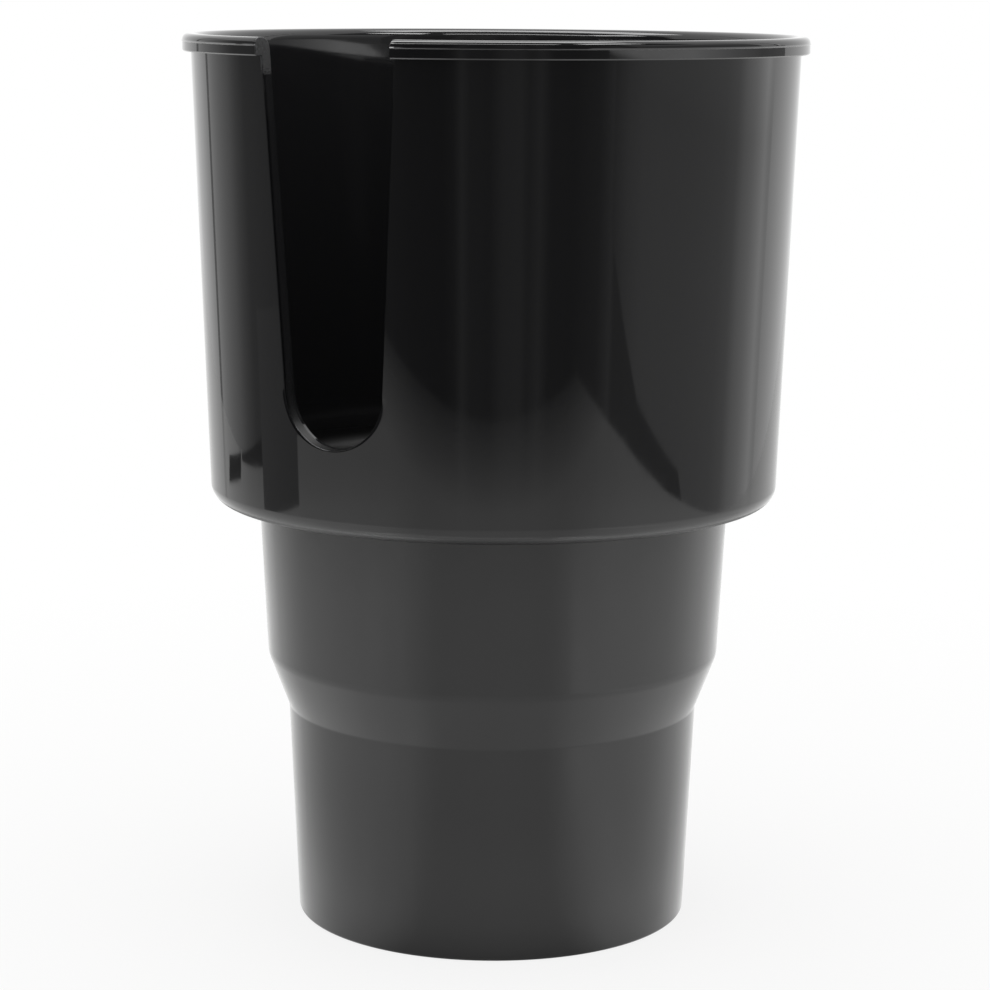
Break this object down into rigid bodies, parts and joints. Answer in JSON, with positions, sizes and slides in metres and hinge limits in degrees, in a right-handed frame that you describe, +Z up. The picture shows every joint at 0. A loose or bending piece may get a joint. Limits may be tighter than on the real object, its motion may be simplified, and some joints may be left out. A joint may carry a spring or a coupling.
{
  "type": "cup holder expander",
  "caption": "Wide mug cup with a handle slot on a stepped round base that drops into a vehicle's cup holder.",
  "frame": {"origin": "centre of the foot's underside, on the turned axis", "axes": "+Z up along the axis, -Y towards the middle of the handle slot, +X to the right seen from the slot's side"},
  "size_m": [0.11, 0.1084, 0.1577],
  "materials": {
    "gloss_black": "mirror polished moulding",
    "satin_black": "slightly softer polish than the cup"
  },
  "bodies": {
    "root": {"mug_cup": "gloss_black", "stepped_base": "satin_black"}
  },
  "joints": []
}
